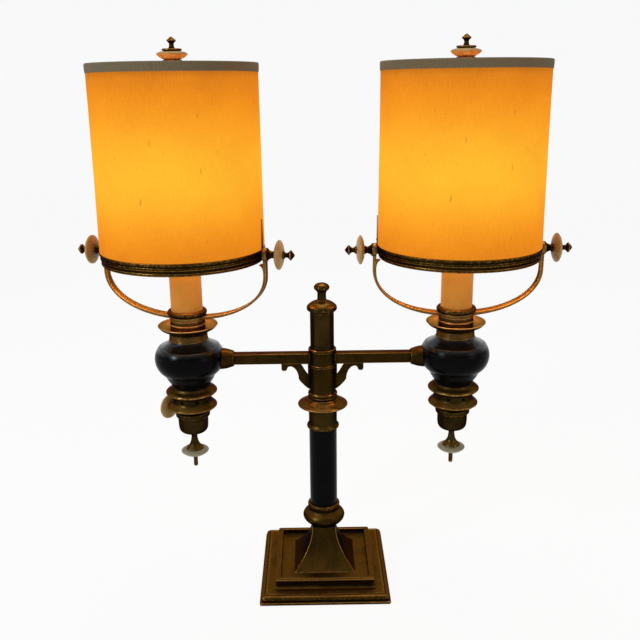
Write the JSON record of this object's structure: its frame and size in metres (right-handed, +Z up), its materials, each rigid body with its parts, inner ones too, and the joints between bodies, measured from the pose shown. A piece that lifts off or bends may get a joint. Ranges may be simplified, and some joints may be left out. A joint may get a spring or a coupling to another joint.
{
  "type": "desk lamp",
  "caption": "Desk lamp with a square stepped base, turned column, swivelling bracketed arm, oil-lamp style fonts, candle sleeves and tilting fabric drum shades in yokes.",
  "frame": {"origin": "centre of the rest face under the base", "axes": "+X along the arm towards the right-hand lamp as seen from the front, +Y towards the back, +Z up"},
  "size_m": [0.5464, 0.178, 0.6184],
  "materials": {
    "bronze": "antique, worn satin with dark recesses",
    "old_brass": "antique, satin",
    "black_enamel": "gloss",
    "ivory": "polished ivory-coloured resin",
    "iron": "rough",
    "steel": "satin",
    "felt": "matte",
    "bushing_rubber": "matte",
    "wire_cover": "matte",
    "candle_card": "satin, warm cream",
    "holder_resin": "satin",
    "bulb_glass": "frosted",
    "shade_linen": "slubby woven linen, lit from inside"
  },
  "bodies": {
    "stand": {"base_felt": "felt", "base_slab": "bronze", "base_pedestal": "bronze", "base_weight": "iron", "cord_bushing": "bushing_rubber", "column_foot": "bronze", "column_tube": "black_enamel", "column_flange": "old_brass", "stem_tube": "old_brass", "stem_cap": "old_brass", "stem_knob": "old_brass", "tie_rod": "steel"},
    "arm": {"arm_sleeve": "bronze", "arm_tubes": "bronze", "arm_brackets": "bronze", "arm_ferrules": "bronze", "arm_wiring": "wire_cover", "left_font_body": "black_enamel", "left_font_neck": "old_brass", "left_drip_pan": "old_brass", "left_collar": "old_brass", "left_yoke": "bronze", "left_candle_sleeve": "candle_card", "left_lamp_holder": "holder_resin", "left_bulb": "bulb_glass", "left_vent_band": "old_brass", "left_lower_cup": "old_brass", "right_font_body": "black_enamel", "right_font_neck": "old_brass", "right_drip_pan": "old_brass", "right_collar": "old_brass", "right_yoke": "bronze", "right_candle_sleeve": "candle_card", "right_lamp_holder": "holder_resin", "right_bulb": "bulb_glass", "right_vent_band": "old_brass", "right_lower_cup": "old_brass", "drop_trumpets": "old_brass", "drop_discs": "ivory", "switch_body": "holder_resin"},
    "switch_grip": {"switch_shaft": "old_brass", "switch_disc": "ivory"},
    "left_tilt": {"left_gallery_ring": "bronze", "left_shade": "shade_linen", "left_shade_spider": "old_brass", "left_finial": "bronze", "left_finial_disc": "ivory"},
    "left_outer_grip": {"left_outer_knob": "bronze", "left_outer_disc": "ivory"},
    "left_inner_grip": {"left_inner_knob": "bronze", "left_inner_disc": "ivory"},
    "right_tilt": {"right_gallery_ring": "bronze", "right_shade": "shade_linen", "right_shade_spider": "old_brass", "right_finial": "bronze", "right_finial_disc": "ivory"},
    "right_outer_grip": {"right_outer_knob": "bronze", "right_outer_disc": "ivory"},
    "right_inner_grip": {"right_inner_knob": "bronze", "right_inner_disc": "ivory"}
  },
  "joints": [
    {"name": "arm_swivel", "type": "hinge", "parent": "stand", "child": "arm", "pos_m": [0, 0, 0.2735], "axis": [0, 0, 1], "range_deg": [-60, 60]},
    {"name": "left_shade_tilt", "type": "hinge", "parent": "arm", "child": "left_tilt", "pos_m": [-0.15, 0, 0.3965], "axis": [0.9781, -0.2079, 0], "range_deg": [-20, 20]},
    {"name": "right_shade_tilt", "type": "hinge", "parent": "arm", "child": "right_tilt", "pos_m": [0.15, 0, 0.3965], "axis": [1, 0, 0], "range_deg": [-20, 20]},
    {"name": "left_outer_knob_turn", "type": "hinge", "parent": "left_tilt", "child": "left_outer_grip", "pos_m": [-0.24165, 0.01948, 0.3965], "axis": [-0.9781, 0.2079, 0], "range_deg": [-180, 180]},
    {"name": "left_inner_knob_turn", "type": "hinge", "parent": "left_tilt", "child": "left_inner_grip", "pos_m": [-0.05835, -0.01948, 0.3965], "axis": [0.9781, -0.2079, 0], "range_deg": [-180, 180]},
    {"name": "right_outer_knob_turn", "type": "hinge", "parent": "right_tilt", "child": "right_outer_grip", "pos_m": [0.2437, 0, 0.3965], "axis": [1, 0, 0], "range_deg": [-180, 180]},
    {"name": "right_inner_knob_turn", "type": "hinge", "parent": "right_tilt", "child": "right_inner_grip", "pos_m": [0.0563, 0, 0.3965], "axis": [-1, 0, 0], "range_deg": [-180, 180]},
    {"name": "switch_turn", "type": "hinge", "parent": "arm", "child": "switch_grip", "pos_m": [-0.15, 0, 0.2076], "axis": [-0.8192, 0.5736, 0], "continuous": true}
  ]
}
